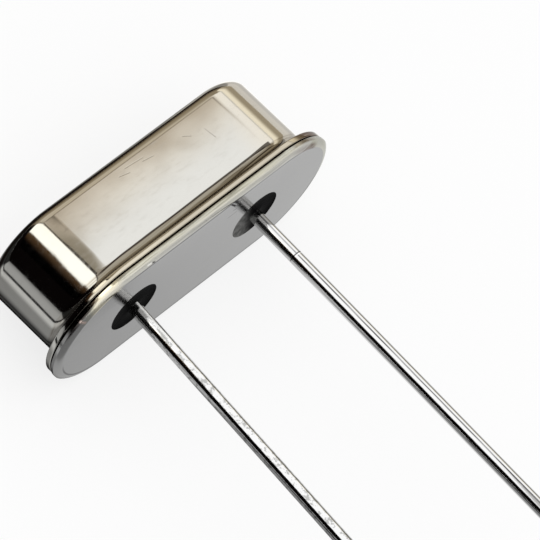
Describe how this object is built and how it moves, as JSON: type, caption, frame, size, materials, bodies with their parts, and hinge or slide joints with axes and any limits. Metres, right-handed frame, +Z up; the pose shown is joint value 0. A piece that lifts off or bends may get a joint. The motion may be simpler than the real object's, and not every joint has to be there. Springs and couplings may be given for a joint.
{
  "type": "crystal oscillator",
  "caption": "Low-profile quartz crystal: a drawn metal can with round ends welded to a flanged base, with two wire leads through glass seals, lying on its back.",
  "frame": {"origin": "middle of the footprint on the surface that the crystal lies on", "axes": "+X along the can's long side, +Y from the leads towards the can's crown, +Z up; the crystal lies on the edge of its flange and the back edge of its crown"},
  "size_m": [0.011, 0.0162, 0.0047],
  "materials": {
    "can_metal": "plated nickel silver, satin with soft reflections and handling scratches",
    "base_metal": "nickel-plated steel, smooth and mirror-like on its flat underside",
    "seal_glass": "fused black sealing glass, glossy",
    "lead_metal": "plated iron-nickel-cobalt wire, drawn smooth",
    "clip_metal": "stamped nickel silver strip",
    "quartz": "lapped clear quartz",
    "electrode_film": "evaporated silver film",
    "adhesive": "silver-filled conductive adhesive, cured"
  },
  "bodies": {
    "root": {"can": "can_metal", "base_plate": "base_metal", "glass_seal_left": "seal_glass", "glass_seal_right": "seal_glass", "lead_left": "lead_metal", "lead_right": "lead_metal", "clip_left": "clip_metal", "clip_right": "clip_metal", "quartz_plate": "quartz", "electrode_front": "electrode_film", "electrode_back": "electrode_film", "adhesive_left": "adhesive", "adhesive_right": "adhesive"}
  },
  "joints": []
}
